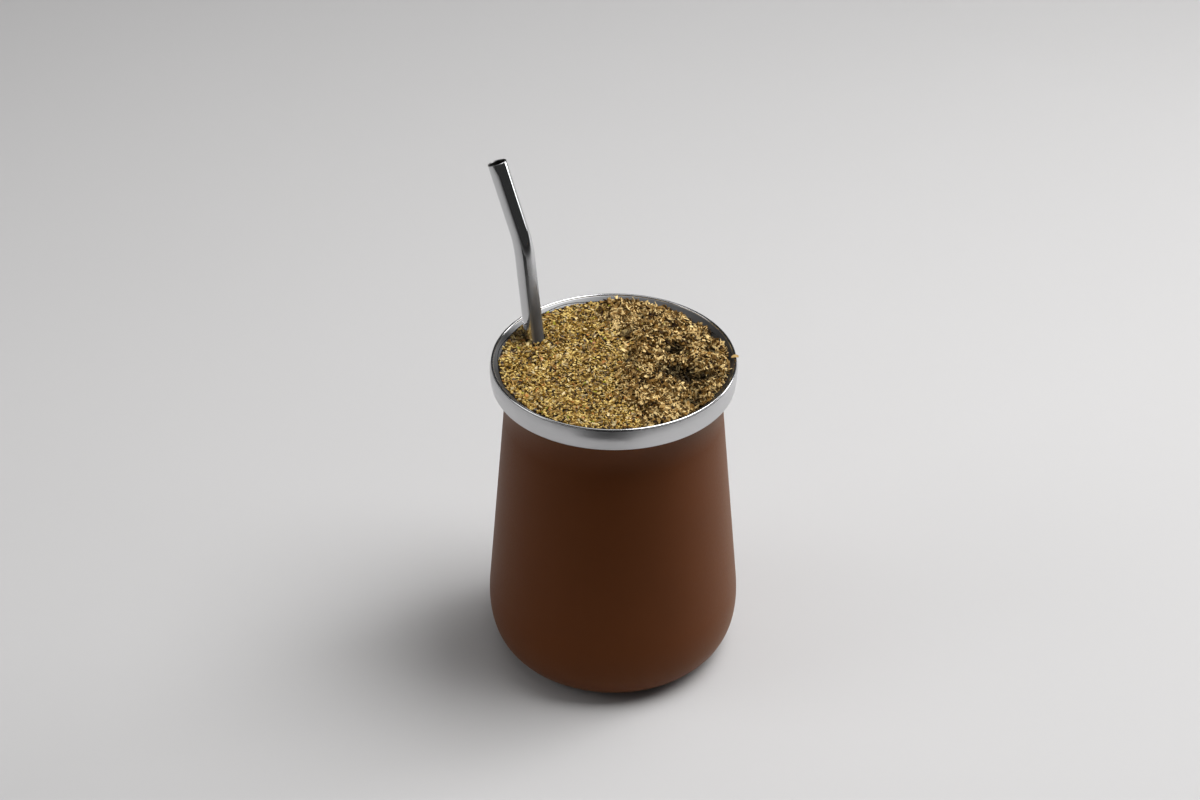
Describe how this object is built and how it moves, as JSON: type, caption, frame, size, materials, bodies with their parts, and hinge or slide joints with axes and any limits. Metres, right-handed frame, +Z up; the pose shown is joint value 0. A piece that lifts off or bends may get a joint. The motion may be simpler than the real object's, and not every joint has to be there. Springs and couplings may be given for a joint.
{
  "type": "mate gourd drink",
  "caption": "Round-bellied insulated steel mate cup with a brushed rim band, filled with damp yerba heaped at one side, and a bent metal bombilla standing in it.",
  "frame": {"origin": "centre of the flat foot, on the surface that the cup stands on", "axes": "+Z up along the cup's axis; -Y towards the viewer; the bombilla stands at the left and back, and the dry heap is on the right, +X"},
  "size_m": [0.0804, 0.0804, 0.1634],
  "materials": {
    "painted_steel": "satin brown powder coat",
    "brushed_steel": "brushed round the rim, with a polished lip",
    "yerba": "damp cut leaf and stem",
    "polished_steel": "polished"
  },
  "bodies": {
    "root": {"shell": "painted_steel", "liner": "brushed_steel", "yerba": "yerba", "bombilla": "polished_steel"}
  },
  "joints": []
}
